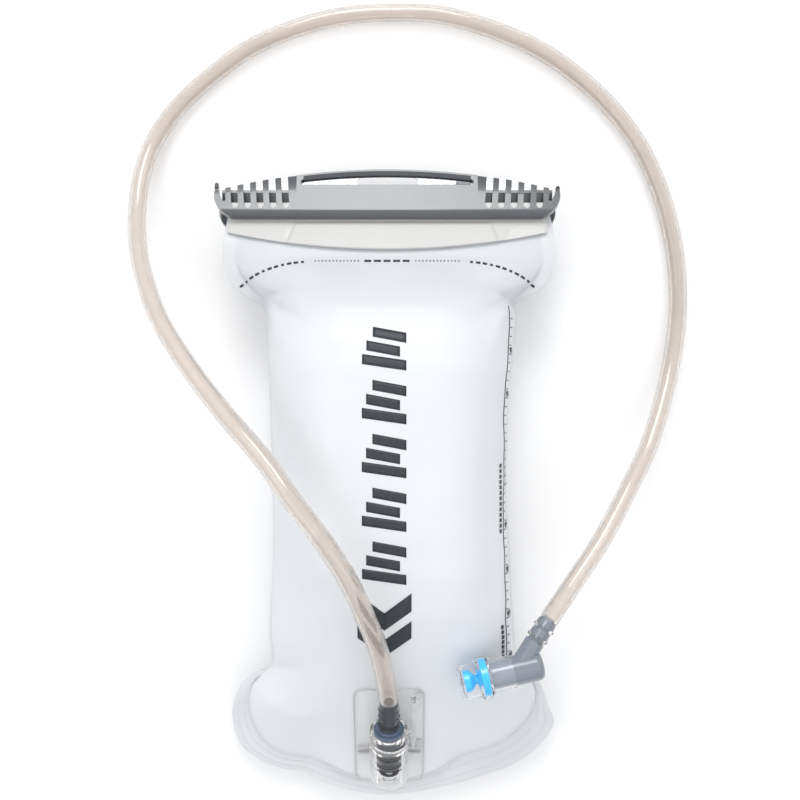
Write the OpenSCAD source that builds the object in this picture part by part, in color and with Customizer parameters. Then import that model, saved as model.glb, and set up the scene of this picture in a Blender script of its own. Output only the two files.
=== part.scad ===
// Hydration bladder: a welded film reservoir that lies on its back, with a fold-and-slide
// closure, a quick-connect port, a drink tube and a bite valve with a twist shut-off.
// Units are millimetres. The bag lies on z = 0, its closure points to +Y and its front to +Z.

/* [Bag] */
// Half of the bag's length, measured along Y from the origin
bag_half_length = 163; // [160:1:166]
// Height of the filled bag's front above the surface it lies on
bag_height = 72; // [70:0.5:74]
// Thickness of the panel film
film = 0.6; // [0.5:0.05:0.7]

/* [Closure] */
// How far the closure droops from horizontal, in degrees
closure_tilt = 18; // [17:0.5:19]
// Half of the slider's length
slider_half = 87.5; // [86:0.5:89]
// Height of the slider's arched front at the middle, above its lower edge
slider_height = 26.9; // [26:0.1:28]
// Radius of the arch along the slider's top edge
arch_radius = 322; // [300:1:340]
// Thickness of the slider's walls
slider_wall = 2.6; // [2.2:0.1:2.8]
// Clear height inside the slider's channel, to each side of the film
channel_half = 5.2; // [5.1:0.1:5.6]
// Number of finger slots on each side
slot_count = 5; // [3:1:5]
// Distance between finger slots
slot_pitch = 6.45; // [6:0.05:6.6]

/* [Port] */
// Slope of the bag's lower end under the port, in degrees
port_slope = 28; // [27:0.5:29]
// Outer radius of the clear socket
socket_r = 9.7; // [9.5:0.1:10]
// Radius of the socket's bore, a sliding fit on the plug
socket_bore_r = 6.5; // [6.5:0.05:6.6]
// Radius of the plug where it slides in the socket
plug_r = 6.42; // [6.38:0.01:6.44]
// Length of plug inside the socket
plug_depth = 21; // [20:0.5:21]

/* [Drink tube] */
// Outer diameter of the tube
tube_od = 9.5; // [9:0.1:9.6]
// Inner diameter of the tube
tube_id = 6.4; // [6:0.1:6.6]

/* [Bite valve] */
// Radius of the valve's barrel
barrel_r = 7.1; // [7:0.05:7.2]
// Radius of the shut-off core where it turns in the barrel
core_r = 4.95; // [4.92:0.01:4.97]
// Radius of the barrel's bore
barrel_bore_r = 5; // [5:0.01:5.02]
// Length of the valve from mouth to closed end
valve_length = 41.5; // [41:0.5:42]

/* [Hidden] */
$fn = 64;
eps = 0.01;

// Places of the closure, the socket mouth and the valve's mouth
closure_at = [0, 135, 34.5];
socket_at = [1, -119, 48];
socket_height = 10.6;
valve_at = [35, -91.5, 62];
valve_yaw = 12;
valve_pitch = 2.5;

// Height of the flat film under the port flange, at a distance y along the bag
function slope_z(y) =
    let (foot_y = socket_at[1] + socket_height * sin(port_slope),
         foot_z = socket_at[2] - socket_height * cos(port_slope))
    foot_z + (y - foot_y) * tan(port_slope);

// Height of the closure's film plane at a distance y along the bag
function closure_z(y) = closure_at[2] - (y - closure_at[1]) * tan(closure_tilt);

closure_low = 117;
closure_high = closure_at[1] + 9 * cos(closure_tilt);
end_z = 13;

// Half width of the outline at the weld's outer edge: [y, half width]
outline = [[-bag_half_length, 8], [-161, 24], [-156, 35], [-148, 57], [-140, 70], [-132, 79],
           [-124, 84], [-116, 82], [-108, 78], [-99, 71], [-89, 62], [-75, 60], [0, 59.5],
           [75, 61], [90, 63], [98, 68], [104, 78], [110, 83], [closure_low, 84.5],
           [133, 84.5], [closure_high, 80]];
// Half width at the inner weld line
seam_line = [[-bag_half_length, 5], [-156, 24], [-152, 36], [-148, 48], [-140, 61], [-132, 70],
             [-124, 75], [-116, 75], [-108, 70], [-99, 64], [-89, 58.5], [-75, 58], [0, 57.5],
             [75, 59], [90, 60], [98, 63], [104, 70], [110, 75], [closure_low, 76.5],
             [133, 76.5], [closure_high, 74]];
// Height of the weld
seam_height = [[-bag_half_length, end_z], [-148, 14], [-132, 16], [-116, 20], [-99, 25],
               [-75, 30], [-40, 32], [75, 33], [90, 34.5], [104, 37],
               [closure_low, closure_z(closure_low) - film],
               [closure_high, closure_z(closure_high) - film]];
// Height of the front panel's crest
crest = [[-bag_half_length, end_z + film], [-156, 14.2 + film], [-152, slope_z(-152)],
         [-99, slope_z(-99)], [-75, 58.5], [-60, 64.5], [-40, 69.5],
         [-20, bag_height - 0.5], [0, bag_height], [45, bag_height], [60, 71], [75, 67],
         [90, 59.5], [104, 49], [closure_low, closure_z(closure_low)],
         [closure_high, closure_z(closure_high)]];
// Height of the back panel's underside
floor_line = [[-bag_half_length, end_z - film], [-156, 12.4], [-148, 7], [-140, 2.5], [-132, 0.6],
              [-124, 0], [84, 0], [98, 5], [110, 17], [121, 31.2], [127, 35.2],
              [133, closure_z(133) - 2 * film], [closure_high, closure_z(closure_high) - 2 * film]];
// How far the weld flange hangs below the weld
flange_droop = [[-120, 0], [-95, 6], [88, 6], [106, 0]];

stations = [-bag_half_length, -161, -156, -152, -148, -140, -132, -124, -116, -108, -99, -89,
            -75, -60, -40, -20, 0, 22, 45, 60, 75, 90, 98, 104, 110, closure_low, 121, 127,
            133, closure_high];
crest_strip = 19;
floor_strip = 40;
arc_steps = 6;

// Points over a panel from its right seam to its left: a flat strip with elliptic shoulders
function shoulder(half, strip, seam_z, rise) =
    let (flat = min(strip, half * 0.5))
    concat(
        [for (i = [0:arc_steps]) let (a = 90 - i * 90 / arc_steps)
            [flat + (half - flat) * sin(a), seam_z + rise * cos(a)]],
        [for (i = [0:arc_steps]) let (a = i * 90 / arc_steps)
            [-flat - (half - flat) * sin(a), seam_z + rise * cos(a)]]);

function reversed(list) = [for (i = [len(list) - 1:-1:0]) list[i]];

// One closed ring of a panel at y. Side is 1 for the front panel and -1 for the back one.
function panel_ring(y, side) =
    let (edge = lookup(y, outline),
         half = lookup(y, seam_line),
         weld = lookup(y, seam_height),
         tip = weld - lookup(y, flange_droop),
         peak = side > 0 ? lookup(y, crest) : lookup(y, floor_line),
         rise = peak - weld - side * film,
         outer = shoulder(half, side > 0 ? crest_strip : floor_strip, weld + side * film, rise),
         inner = shoulder(half - film, side > 0 ? crest_strip : floor_strip, weld, rise))
    [for (p = concat([[edge, tip + side * film]], outer, [[-edge, tip + side * film]],
                     [[-edge, tip]], reversed(inner), [[edge, tip]]))
        [p[0], y, p[1]]];

// A closed body through rings that each have the same even number of points. Each end is
// closed by a strip that joins a ring's first half to its second.
module loft(rings, flip = false) {
    n = len(rings[0]);
    rows = len(rings);
    wall = [for (j = [0:rows - 2], i = [0:n - 1])
        let (a = j * n + i, b = j * n + (i + 1) % n)
        each [[a, b, b + n], [a, b + n, a + n]]];
    caps = [for (i = [0:n / 2 - 2])
        let (a = i, b = i + 1, c = n - 2 - i, d = n - 1 - i, top = (rows - 1) * n)
        each [[d, c, b], [d, b, a], [top + a, top + b, top + c], [top + a, top + c, top + d]]];
    faces = concat(wall, caps);
    polyhedron(
        points = [for (ring = rings) each ring],
        faces = flip ? [for (f = faces) reversed(f)] : faces,
        convexity = 8);
}

// Frames of the closure, the port and the valve
module at_closure() translate(closure_at) rotate([-closure_tilt, 0, 0]) children();
module at_port() translate(socket_at) rotate([port_slope, 0, 0]) children();
module along_plug() at_port() rotate([-90, 0, 0]) children();
module at_valve() translate(valve_at) rotate([0, valve_pitch, valve_yaw]) children();
module along_valve() at_valve() rotate([0, 90, 0]) children();

// A bar along X whose section is given in the closure's (v, n) plane
module along_x(half) rotate([90, 0, 90]) translate([0, 0, -half]) linear_extrude(2 * half) children();

// Bag ---------------------------------------------------------------------------------------
drain_y = -26;
strainer_hole_r = 0.6;
strainer_pitch = 1.9;
nipple_r = 4.4;

module front_panel() color([0.93, 0.95, 0.97, 0.6]) difference() {
    loft([for (y = stations) panel_ring(y, 1)]);
    at_port() translate([0, drain_y, -socket_height - 4]) cylinder(r = nipple_r + 0.4, h = 8);
}

module back_panel() color([0.88, 0.9, 0.93, 0.6])
    loft([for (y = stations) panel_ring(y, -1)], flip = true);

// Closure -----------------------------------------------------------------------------------
lip_half = 81;
lip_curve = 350;
lip_drop = 15.5;
rail_half = 79;
rail_low = 4.2;
rail_high = 9.6;

// A strip of the folded mouth: straight inside the slider and bowed along its free edge
module lip_strip(drop, half, bottom, top) at_closure() translate([0, 0, bottom])
    linear_extrude(top - bottom) intersection() {
        translate([-half, -drop]) square([2 * half, drop + 9]);
        translate([0, lip_curve - drop]) circle(r = lip_curve, $fn = 360);
    }

module front_lip_strip() color([0.9, 0.9, 0.88]) lip_strip(lip_drop - 1.2, lip_half - 1, 0.15, 0.9);

module rear_lip_strip() color([0.93, 0.92, 0.9]) lip_strip(lip_drop, lip_half, 1, 1.8);

// A stiff bead with a rounded section that the slider's lips hold in the channel
module seal_rail(bottom, top) at_closure() along_x(rail_half) {
    round_r = (top - bottom) / 2;
    translate([rail_low + round_r, (bottom + top) / 2]) circle(r = round_r);
    translate([rail_low + round_r, bottom])
        square([rail_high - rail_low - 2 * round_r, top - bottom]);
    translate([rail_high - round_r, (bottom + top) / 2]) circle(r = round_r);
}

module front_seal_rail() color([0.85, 0.86, 0.86]) seal_rail(1.9, 4.8);

module rear_seal_rail() color([0.85, 0.86, 0.86]) seal_rail(-4.8, -1.3);

tab_face = -8.3;
tab_thick = 1;
tab_half = 78;
tab_top = 33.5;
tab_slot = [32, 6.6];
tab_slot_at = [0, 28.3];
peg_at = [40, 28.3];
peg_r = 1.5;

// A rectangle with round ends, centred on the origin
module stadium(length, width) {
    square([length - width, width], center = true);
    for (s = [-1, 1]) translate([s * (length - width) / 2, 0]) circle(d = width);
}

module hang_tab() color([0.9, 0.92, 0.94, 0.7]) at_closure()
    translate([0, 0, tab_face - tab_thick]) linear_extrude(tab_thick) difference() {
        intersection() {
            translate([-tab_half, -9.5]) square([2 * tab_half, tab_top + 9.5]);
            translate([0, tab_top - arch_radius]) circle(r = arch_radius, $fn = 360);
        }
        translate(tab_slot_at) stadium(tab_slot[0], tab_slot[1]);
        translate(peg_at) stadium(4 * peg_r, 2 * peg_r);
    }

module tether_peg() color([0.55, 0.58, 0.6]) at_closure() {
    translate([peg_at[0], peg_at[1], tab_face + 0.05]) linear_extrude(1.2) stadium(8, 3.6);
    translate([peg_at[0], peg_at[1], tab_face - tab_thick - 1]) linear_extrude(tab_thick + 1.05 + eps)
        stadium(4 * peg_r - 0.1, 2 * peg_r - 0.1);
    translate([peg_at[0], peg_at[1], tab_face - tab_thick - 1.2]) linear_extrude(1.15) stadium(8, 3.6);
}

// Slider ------------------------------------------------------------------------------------
face_n = channel_half + slider_wall;
corner_r = 12;
spine = [9.9, 15.9];
spine_half = 84;
hood_half = 50;
window_half = 44;
window_low = 17.6;
window_end_r = 1.5;
rim_height = 3.2;
roll_r = 3.8;
bar_bevel = [1.5, 1.7];
comb_base = 12;
comb_round = 40;
comb_half = 46;
spine_slope = [2.2, 14.4];
slot_r = 1.75;
slot_low = 4.4;
slot_first = 51;
slot_lean = 5;
blade_width = 2;
lip_gap = [-1.6, 2.3];
rear_low = -1;
rear_high = 16.5;

// Everything below the arch, lowered by drop
module under_arch(drop = 0) intersection() {
    translate([0, slider_height - drop - arch_radius]) circle(r = arch_radius, $fn = 360);
    translate([-slider_half, -2]) square([2 * slider_half, slider_height + 4]);
}

// Cuts the two lower corners round
module round_lower_corners(half, low, r) for (s = [-1, 1]) difference() {
    translate([s * (half - r / 2 + eps), low + r / 2 - eps]) square(r + 2 * eps, center = true);
    translate([s * (half - r), low + r]) circle(r = r);
}

module finger_slot() {
    circle(r = slot_r);
    translate([-slot_r, 0]) square([2 * slot_r, slider_height]);
}

// The opening between the last finger and the end blade
module end_opening() polygon([[81.5, 8.8], [82.1, 8.2], [83, 8.6], [85.1, 13], [85.6, 23], [82.7, 23]]);

module window_outline() {
    straight_half = window_half - window_end_r;
    intersection() {
        translate([-straight_half, window_low]) square([2 * straight_half, 10]);
        translate([0, slider_height - rim_height - arch_radius]) circle(r = arch_radius, $fn = 360);
    }
    for (s = [-1, 1]) translate([s * straight_half, window_low + window_end_r]) circle(r = window_end_r);
}

module front_outline() difference() {
    union() {
        difference() {
            under_arch();
            translate([-slider_half - 1, -3]) square([2 * slider_half + 2, 3]);
            round_lower_corners(slider_half, 0, corner_r);
        }
        for (tip = [[-1, 19], [1, 17]]) {
            translate([tip[0] * (slider_half - blade_width / 2), 12])
                translate([-blade_width / 2, 0]) square([blade_width, tip[1] - 13]);
            translate([tip[0] * (slider_half - blade_width / 2), tip[1] - 1]) circle(r = blade_width / 2);
        }
    }
    for (s = [-1, 1], i = [0:slot_count - 1])
        translate([s * (slot_first + i * slot_pitch), slot_low + slot_r]) rotate(-s * slot_lean)
            finger_slot();
    end_opening();
    mirror([1, 0]) end_opening();
    window_outline();
}

// The handle bar falls back to the window below it
module window_bevel() intersection() {
    translate([window_end_r - window_half, window_low, face_n - bar_bevel[0]])
        cube([2 * (window_half - window_end_r), 12, bar_bevel[0] + 1]);
    translate([0, slider_height - arch_radius, face_n - bar_bevel[0]])
        cylinder(r1 = arch_radius - rim_height, r2 = arch_radius - rim_height + bar_bevel[1],
                 h = bar_bevel[0] + eps, $fn = 360);
}

// The arch's front edge falls back all along
module arch_bevel() translate([0, slider_height - arch_radius, face_n - 1]) difference() {
    cylinder(r = arch_radius + 1, h = 2, $fn = 360);
    translate([0, 0, -eps])
        cylinder(r1 = arch_radius, r2 = arch_radius - 1, h = 1 + 2 * eps, $fn = 360);
}

// The fingers curve back towards their tips
module comb_relief() for (s = [-1, 1]) difference() {
    translate([s > 0 ? comb_half : -slider_half - 1, comb_base, face_n - slider_wall])
        cube([slider_half + 1 - comb_half, 14, slider_wall + 1]);
    translate([0, comb_base, face_n - comb_round]) rotate([0, 90, 0])
        cylinder(r = comb_round, h = 2 * slider_half + 4, center = true, $fn = 180);
}

module slider() color([0.68, 0.71, 0.74]) at_closure() {
    difference() {
        translate([0, 0, channel_half - 1]) linear_extrude(slider_wall + 1) front_outline();
        window_bevel();
        arch_bevel();
        comb_relief();
        // The channel side of the front wall
        translate([-slider_half - 1, roll_r, channel_half - 2])
            cube([2 * slider_half + 2, spine[0] - roll_r, 2]);
        for (s = [-1, 1]) translate([s * (hood_half + 25) - 25, spine[1], channel_half - 2])
            cube([50, 12, 2]);
        // The lower edge is rolled under
        difference() {
            translate([-slider_half - 1, -1, face_n - roll_r])
                cube([2 * slider_half + 2, roll_r + 1, roll_r + 1]);
            translate([0, roll_r, face_n - roll_r]) rotate([0, 90, 0])
                cylinder(r = roll_r, h = 2 * slider_half + 4, center = true);
        }
    }
    // Lips that hold the rails in the channel
    translate([-rail_half, 0.9, lip_gap[1]]) cube([2 * rail_half, 2, channel_half - lip_gap[1]]);
    translate([-rail_half, 0.9, -channel_half]) cube([2 * rail_half, 2, lip_gap[0] + channel_half]);
    // Spine that joins the walls over the channel, sloped behind the fingers
    along_x(spine_half) polygon([
        [spine[0], -channel_half - eps], [spine[1], -channel_half - eps],
        [spine[1], channel_half + eps], [spine_slope[1], channel_half + eps],
        [spine[0], spine_slope[0]]]);
    translate([-comb_half, spine[0], 0])
        cube([2 * comb_half, spine[1] - spine[0], channel_half + eps]);
    // Ledge that carries the handle, from the spine up to the window
    translate([-hood_half, spine[1] - eps, 0.5])
        cube([2 * hood_half, window_low - spine[1], channel_half - 0.5]);
    // Rear wall
    translate([0, 0, -face_n]) linear_extrude(slider_wall) difference() {
        intersection() {
            under_arch(1.5);
            translate([-slider_half + 0.7, rear_low]) square([2 * slider_half - 1.4, rear_high - rear_low]);
        }
        round_lower_corners(slider_half - 0.7, rear_low, 10);
    }
}

// Port --------------------------------------------------------------------------------------
plate = [35, 62.7];
plate_low = -44.8;
plate_bottom = -10.5;
plate_thick = 1.3;
plate_corner = 4.5;
socket_end = -34.5;
recess_r = 7.9;
seat_r = 4.2;
chamber_r = 6;
latch_s = [-8.4, -6.2];

module rounded_rectangle(size, r) {
    translate([-size[0] / 2 + r, 0]) square([size[0] - 2 * r, size[1]]);
    translate([-size[0] / 2, r]) square([size[0], size[1] - 2 * r]);
    for (x = [-1, 1], y = [r, size[1] - r]) translate([x * (size[0] / 2 - r), y]) circle(r = r);
}

module port_base() color([0.85, 0.88, 0.92, 0.55]) difference() {
    union() {
        at_port() translate([0, plate_low, plate_bottom]) linear_extrude(plate_thick)
            rounded_rectangle(plate, plate_corner);
        along_plug() rotate_extrude() polygon(concat(
            [[0, 0], [socket_r, 0]],
            [for (a = [0:15:90]) [socket_r - 4 + 4 * cos(a), socket_end + 4 - 4 * sin(a)]],
            [[0, socket_end]]));
        at_port() translate([0, drain_y, plate_bottom - 2.5]) cylinder(r = nipple_r, h = 5);
        for (x = [-16, 10], y = [-24.5, -21])
            at_port() translate([x, y, plate_bottom + 1]) cube([6, 1, 1.8]);
        for (y = [-17.5, 15]) at_port() translate([14, y, plate_bottom + 1]) cube([2, 1.5, 4]);
    }
    along_plug() translate([0, 0, -2]) cylinder(r = recess_r, h = 3);
    along_plug() translate([0, 0, -plug_depth - 0.5]) cylinder(r = socket_bore_r, h = plug_depth);
    along_plug() translate([0, 0, -plug_depth - 3]) cylinder(r = seat_r, h = 4);
    along_plug() translate([0, 0, socket_end + 2]) cylinder(r = chamber_r, h = 9.5);
    // Strainer between the bag and the chamber under the valve
    for (i = [0:6]) at_port() translate([0, drain_y, plate_bottom - 5])
        translate(i == 0 ? [0, 0, 0] : strainer_pitch * [cos(60 * i), sin(60 * i), 0])
            cylinder(r = strainer_hole_r, h = 10.5);
    // Window for the latch plate
    at_port() translate([-socket_r - 2, latch_s[0] - 0.1, -6.6])
        cube([2 * socket_r + 4, latch_s[1] - latch_s[0] + 0.2, 20]);
}

bar = [2.2, 30, 5];
bar_at = [11.2, -16, -9];
latch_hole_r = 6.9;
latch_travel = [0.3, 1.1];

// The latch plate drops into the plug's groove, and the bar beside the socket presses it free
module release_button() color([0.82, 0.86, 0.9, 0.6]) difference() {
    union() {
        at_port() translate(bar_at) cube(bar);
        at_port() translate([0, latch_s[1] - 0.2, 0]) rotate([90, 0, 0])
            linear_extrude(latch_s[1] - latch_s[0] - 0.4) {
                intersection() {
                    circle(r = 8.9);
                    translate([-9, -6.3]) square([18, 16]);
                }
                translate([7.5, -6.3]) square([4.5, 2.3]);
            }
    }
    // The hole is long enough for the plug's full radius over the button's whole travel
    for (x = latch_travel) at_port() translate([x, latch_s[1] + 0.4, 0]) rotate([90, 0, 0])
        cylinder(r = latch_hole_r, h = 4);
}

// Rings of points along a list of centres, for round wire and tube
function unit(v) = v / norm(v);
function heading(path, i) = unit(path[min(i + 1, len(path) - 1)] - path[max(i - 1, 0)]);
function side_vector(dir) = unit(cross(dir, [0, 0, 1] + 0.01 * [1, 0, 0]));
function tube_ring(path, i, r, sides) =
    let (dir = heading(path, i), u = side_vector(dir), v = cross(dir, u))
    [for (k = [0:sides - 1]) path[i] + r * (cos(360 * k / sides) * u + sin(360 * k / sides) * v)];

// Points of a coil spring along +Z
function coil_path(r, height, turns, steps) =
    [for (i = [0:turns * steps]) let (a = 360 * i / steps)
        [r * cos(a), r * sin(a), height * i / (turns * steps)]];
function coil_ring(path, i, r, sides) =
    let (p = path[i], out = unit([p[0], p[1], 0]))
    [for (k = [0:sides - 1]) p + r * (cos(360 * k / sides) * out + sin(360 * k / sides) * [0, 0, 1])];

module coil(r, height, turns, wire) {
    path = coil_path(r, height, turns, 12);
    loft([for (i = [0:len(path) - 1]) coil_ring(path, i, wire / 2, 6)]);
}

module button_spring() color([0.75, 0.76, 0.78]) at_port()
    translate([7.75, -12, -7.4]) rotate([0, 90, 0]) coil(1.1, 3.2, 3, 0.4);

poppet_head = [-27, -25.5];
stem_top = -plug_depth - 0.1;

module port_poppet() color([0.8, 0.82, 0.85]) along_plug() {
    translate([0, 0, poppet_head[0]]) cylinder(r = 5, h = poppet_head[1] - poppet_head[0] - 0.5);
    translate([0, 0, poppet_head[0]]) cylinder(r = 1.6, h = stem_top - poppet_head[0]);
}

module poppet_seal() color([0.2, 0.2, 0.22]) along_plug()
    translate([0, 0, poppet_head[1] - 0.5]) difference() {
        cylinder(r = 5, h = 0.5);
        translate([0, 0, -1]) cylinder(r = 1.6, h = 3);
    }

module poppet_spring() color([0.75, 0.76, 0.78]) along_plug()
    translate([0, 0, socket_end + 2.6]) coil(3.4, poppet_head[0] - socket_end - 3.2, 3, 0.7);

// Plug --------------------------------------------------------------------------------------
barb_start = 4;
barb_length = 16;
ring_groove_r = 5.3;
ring_wire = 1.1;
ring_places = [-18.4, -13.4];

// Saw-tooth ridges that grip the tube, as points of a profile from z = low upward
function barb_ridges(low, count, pitch) =
    [for (i = [0:count - 1]) each [[3.9, low + i * pitch], [3.9, low + i * pitch + 0.6],
                                   [3.1, low + (i + 1) * pitch - 0.6],
                                   [3.1, low + (i + 1) * pitch - 0.01]]];

module plug_body() color([0.27, 0.3, 0.34]) along_plug() difference() {
    rotate_extrude() polygon(concat(
        [[0, -plug_depth], [plug_r - 0.6, -plug_depth], [plug_r, -plug_depth + 0.6]],
        [for (s = ring_places) each [[plug_r, s - 1.2], [ring_groove_r, s - 1.2],
                                     [ring_groove_r, s + 1.2], [plug_r, s + 1.2]]],
        [[plug_r, latch_s[0] - 0.1], [5.5, latch_s[0] - 0.1], [5.5, latch_s[1] + 0.1],
         [plug_r, latch_s[1] + 0.1], [plug_r, -1.5], [5, -1.5], [5, 3.4], [4.7, barb_start],
         [3.1, barb_start], [3.1, barb_start + 2]],
        barb_ridges(barb_start + 2, 3, 4.2),
        [[2.8, barb_start + barb_length], [0, barb_start + barb_length]]));
    translate([0, 0, -plug_depth - 1]) cylinder(r = 2.2, h = plug_depth + barb_start + barb_length + 2);
}

module plug_collar() color([0.36, 0.42, 0.5]) along_plug() rotate_extrude()
    polygon([[5.02, -1.45], [7.3, -1.45], [7.6, -1.1], [7.6, 1.2], [7.2, 1.6], [6.3, 1.6],
             [6.3, 2.6], [6, 3], [5.02, 3]]);

module plug_o_rings() color([0.12, 0.12, 0.13]) along_plug() for (s = ring_places)
    translate([0, 0, s]) rotate_extrude() translate([ring_groove_r + ring_wire / 2 + 0.01, 0])
        circle(d = ring_wire);

// Drink tube --------------------------------------------------------------------------------
// Centreline from the plug's shoulder, over the bag, around and back to the valve's neck
route = [
    [1, -115.5, 49.9], [1, -101.3, 57.4], [-1, -86, 67], [-4, -70, 79], [-9, -55, 88],
    [-17, -36, 95], [-28, -18, 98], [-42, 0, 95], [-56, 18, 88], [-77, 40, 76], [-95, 61, 64.5],
    [-111, 83, 52], [-121, 103, 41], [-128, 124, 30], [-131, 145, 19.5], [-130, 166, 12],
    [-124, 185, 7.5], [-112, 203, 5.5], [-95, 219, 5], [-76, 233, 5], [-52, 244, 5],
    [-26, 251, 5], [1, 253, 5], [28, 252, 5], [54, 245, 5], [80, 234, 5], [102, 219, 5],
    [120, 202, 5], [135, 182, 5], [146, 158, 5], [153, 132, 5], [156, 104, 5], [154, 78, 7],
    [147, 50, 13.5], [136, 22, 24], [122, -1, 36], [107, -24, 47], [91, -44.5, 56],
    [79.4, -60.1, 59.8], [71.8, -71.8, 60.3]];
route_steps = 2;

// A smooth curve through the route's points
function on_curve(p0, p1, p2, p3, t) =
    0.5 * (2 * p1 + (p2 - p0) * t + (2 * p0 - 5 * p1 + 4 * p2 - p3) * t * t
           + (3 * p1 - p0 - 3 * p2 + p3) * t * t * t);
function smooth_path(points, steps) = let (last = len(points) - 1)
    concat([for (i = [0:last - 1], k = [0:steps - 1])
        on_curve(points[max(i - 1, 0)], points[i], points[i + 1], points[min(i + 2, last)], k / steps)],
        [points[last]]);

tube_sides = 10;

module drink_tube() color([0.86, 0.83, 0.8, 0.6]) {
    path = smooth_path(route, route_steps);
    n = tube_sides;
    rows = len(path);
    outer = [for (i = [0:rows - 1]) each tube_ring(path, i, tube_od / 2, n)];
    inner = [for (i = [0:rows - 1]) each tube_ring(path, i, tube_id / 2, n)];
    base = rows * n;
    faces = [for (j = [0:rows - 2], i = [0:n - 1])
        let (a = j * n + i, b = j * n + (i + 1) % n)
        each [[a, a + n, b + n], [a, b + n, b],
              [base + a, base + b + n, base + a + n], [base + a, base + b, base + b + n]]];
    ends = [for (i = [0:n - 1])
        let (b = (i + 1) % n, z = (rows - 1) * n)
        each [[i, b, base + b], [i, base + b, base + i],
              [z + i, base + z + b, z + b], [z + i, base + z + i, base + z + b]]];
    polyhedron(points = concat(outer, inner), faces = concat(faces, ends), convexity = 12);
}

// Bite valve --------------------------------------------------------------------------------
neck_at = 28.5;
neck_angle = 45;
neck_length = 16.5;
neck_r = 4.8;
neck_bore_r = 2.5;
barrel_front = 14.9;
sheath_seam = 27;
core_flange = [10.9, 14.1];

// Along the neck, from where its axis meets the barrel's
module along_neck() along_valve() translate([0, 0, neck_at]) rotate([-neck_angle, 0, 0]) children();

module valve_elbow() color([0.5, 0.53, 0.58]) difference() {
    union() {
        along_valve() rotate_extrude() polygon(concat(
            [[0, barrel_front], [6.6, barrel_front], [6.6, sheath_seam], [barrel_r, sheath_seam]],
            [for (a = [0:15:90]) [barrel_r - 3 + 3 * cos(a), valve_length - 3 + 3 * sin(a)]],
            [[0, valve_length]]));
        along_neck() cylinder(r = neck_r, h = neck_length);
        along_neck() translate([0, 0, neck_length]) rotate_extrude() polygon([
            [0, -0.1], [3.1, -0.1], [3.1, 1.5], [4, 3], [3.4, 6], [3.1, 7], [4, 8.5], [3.2, 11.5],
            [2.9, 13], [0, 13]]);
    }
    along_valve() translate([0, 0, barrel_front - 1]) cylinder(r = barrel_bore_r, h = 23.6);
    along_neck() cylinder(r = neck_bore_r, h = neck_length + 14);
}

o_ring_at = 21;

// The blue core: a flange the sheath grips, a waisted stop behind the slit, and a ported stem
module shutoff_core() color([0.16, 0.66, 0.92]) difference() {
    union() {
        along_valve() rotate_extrude() polygon([
            [0, 2], [4.6, 2], [5.2, 2.6], [5.2, 5.3], [4.7, 5.9], [2.2, 8], [2.4, 8.8], [6, core_flange[0]],
            [9, core_flange[0]], [9, core_flange[1]], [core_r, core_flange[1]],
            [core_r, o_ring_at - 0.9], [4, o_ring_at - 0.9], [4, o_ring_at + 0.9],
            [core_r, o_ring_at + 0.9], [core_r, 37], [0, 37]]);
    }
    along_valve() translate([0, 0, 12]) cylinder(r = 2.9, h = 24);
    along_neck() translate([0, 0, 2]) cylinder(r = 2.4, h = 10);
    // Passages from the stem to the space in front of the flange
    for (a = [0:90:270]) along_valve() rotate([0, 0, a + 45]) translate([3.4, 0, 8])
        rotate([0, -22, 0]) cylinder(r = 0.9, h = 7);
}

module core_o_ring() color([0.12, 0.12, 0.13]) along_valve() translate([0, 0, o_ring_at])
    rotate_extrude() translate([4.45, 0]) circle(d = 0.86);

sheath_points = [
    [0, 0.6], [6.8, 0], [8.2, 0.4], [8.9, 1.6], [8.7, 4], [8.8, 8.6], [9.9, 10.6], [9.9, 14.2],
    [8.4, 15.8], [7.8, 17.5], [7.8, sheath_seam - 0.5], [7.6, sheath_seam - 0.1],
    [6.85, sheath_seam - 0.1], [6.85, 15.2], [9.15, 14.25], [9.15, 10.75], [7.6, 9.6], [7.5, 2.4],
    [6.6, 1.6], [0, 1.6]];

module bite_sheath() color([0.9, 0.95, 1, 0.45]) difference() {
    along_valve() rotate_extrude() polygon(sheath_points);
    at_valve() translate([0, 0, 0.8]) cube([3, 0.5, 9], center = true);
}

front_panel();
back_panel();
front_lip_strip();
rear_lip_strip();
front_seal_rail();
rear_seal_rail();
hang_tab();
tether_peg();
slider();
port_base();
release_button();
button_spring();
port_poppet();
poppet_seal();
poppet_spring();
plug_body();
plug_collar();
plug_o_rings();
drink_tube();
valve_elbow();
shutoff_core();
core_o_ring();
bite_sheath();
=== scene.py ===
"""Looks of the hydration bladder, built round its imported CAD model.

Every length is in metres, in the frame of the CAD model: the bag lies on its back on z = 0,
+Y runs along it to the closure, and +Z comes out of its front.
"""

import math

import bpy
import numpy as np
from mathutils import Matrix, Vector
from mathutils.bvhtree import BVHTree


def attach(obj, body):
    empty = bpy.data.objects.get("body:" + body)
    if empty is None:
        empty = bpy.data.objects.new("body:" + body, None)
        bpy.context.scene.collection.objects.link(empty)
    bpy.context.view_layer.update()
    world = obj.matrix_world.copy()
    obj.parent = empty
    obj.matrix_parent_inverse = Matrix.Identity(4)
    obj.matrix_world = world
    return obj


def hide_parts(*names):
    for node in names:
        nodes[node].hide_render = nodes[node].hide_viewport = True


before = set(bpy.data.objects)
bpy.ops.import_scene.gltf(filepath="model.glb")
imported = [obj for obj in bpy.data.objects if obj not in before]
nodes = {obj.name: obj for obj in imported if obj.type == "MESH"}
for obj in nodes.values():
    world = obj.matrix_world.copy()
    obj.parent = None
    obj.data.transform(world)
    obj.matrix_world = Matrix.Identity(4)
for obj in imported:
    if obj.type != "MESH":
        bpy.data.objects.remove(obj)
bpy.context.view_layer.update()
scene = bpy.context.scene

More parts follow.
